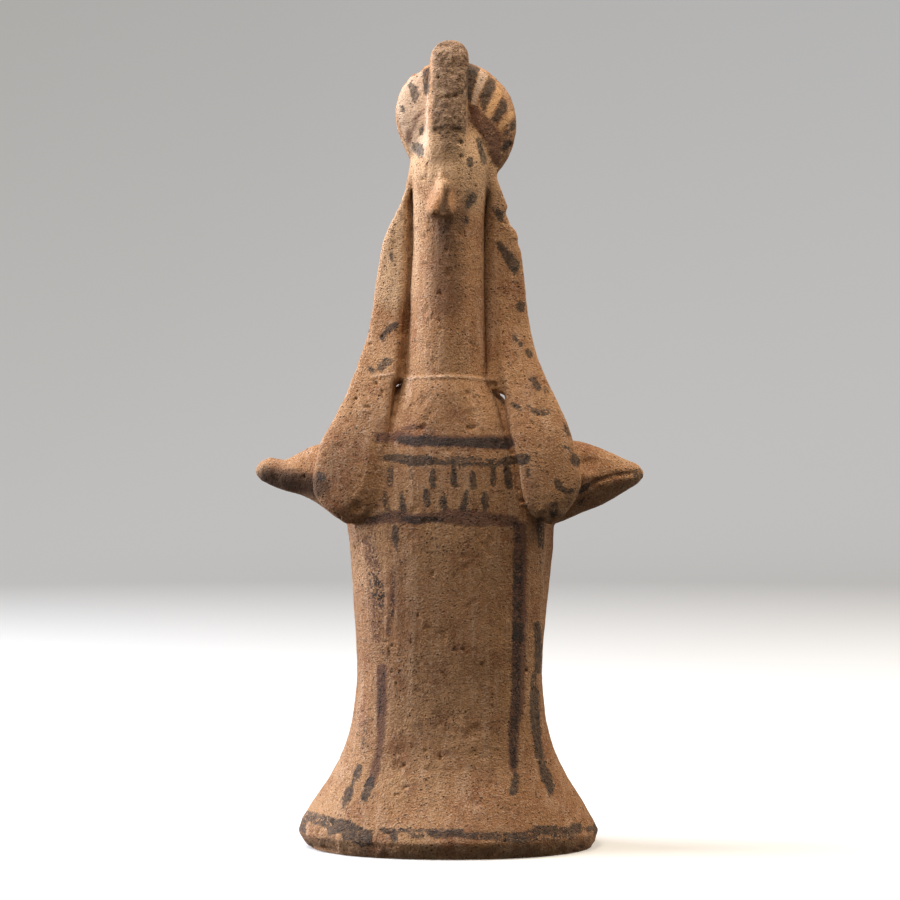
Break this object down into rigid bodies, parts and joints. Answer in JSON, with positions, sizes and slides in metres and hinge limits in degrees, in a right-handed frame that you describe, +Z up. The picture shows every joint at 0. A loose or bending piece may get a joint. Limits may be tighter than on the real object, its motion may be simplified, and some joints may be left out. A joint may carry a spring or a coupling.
{
  "type": "terracotta idol figurine",
  "caption": "Standing columnar clay idol with a flared oval foot, stub arms, long neck, beaked face, round headdress with a front crest and flat hair locks.",
  "frame": {"origin": "middle of the underside of the foot, at the height of the surface that it stands on", "axes": "+Z up along the figure's height, -Y towards the front that carries the face and the painted dress, +X to the viewer's right"},
  "size_m": [0.116, 0.06, 0.24],
  "materials": {
    "terracotta": "matte fired clay, tan to orange-brown, with worn black, purple-red and ochre painted bands, dashes and stripes"
  },
  "bodies": {
    "root": {"idol": "terracotta"}
  },
  "joints": []
}
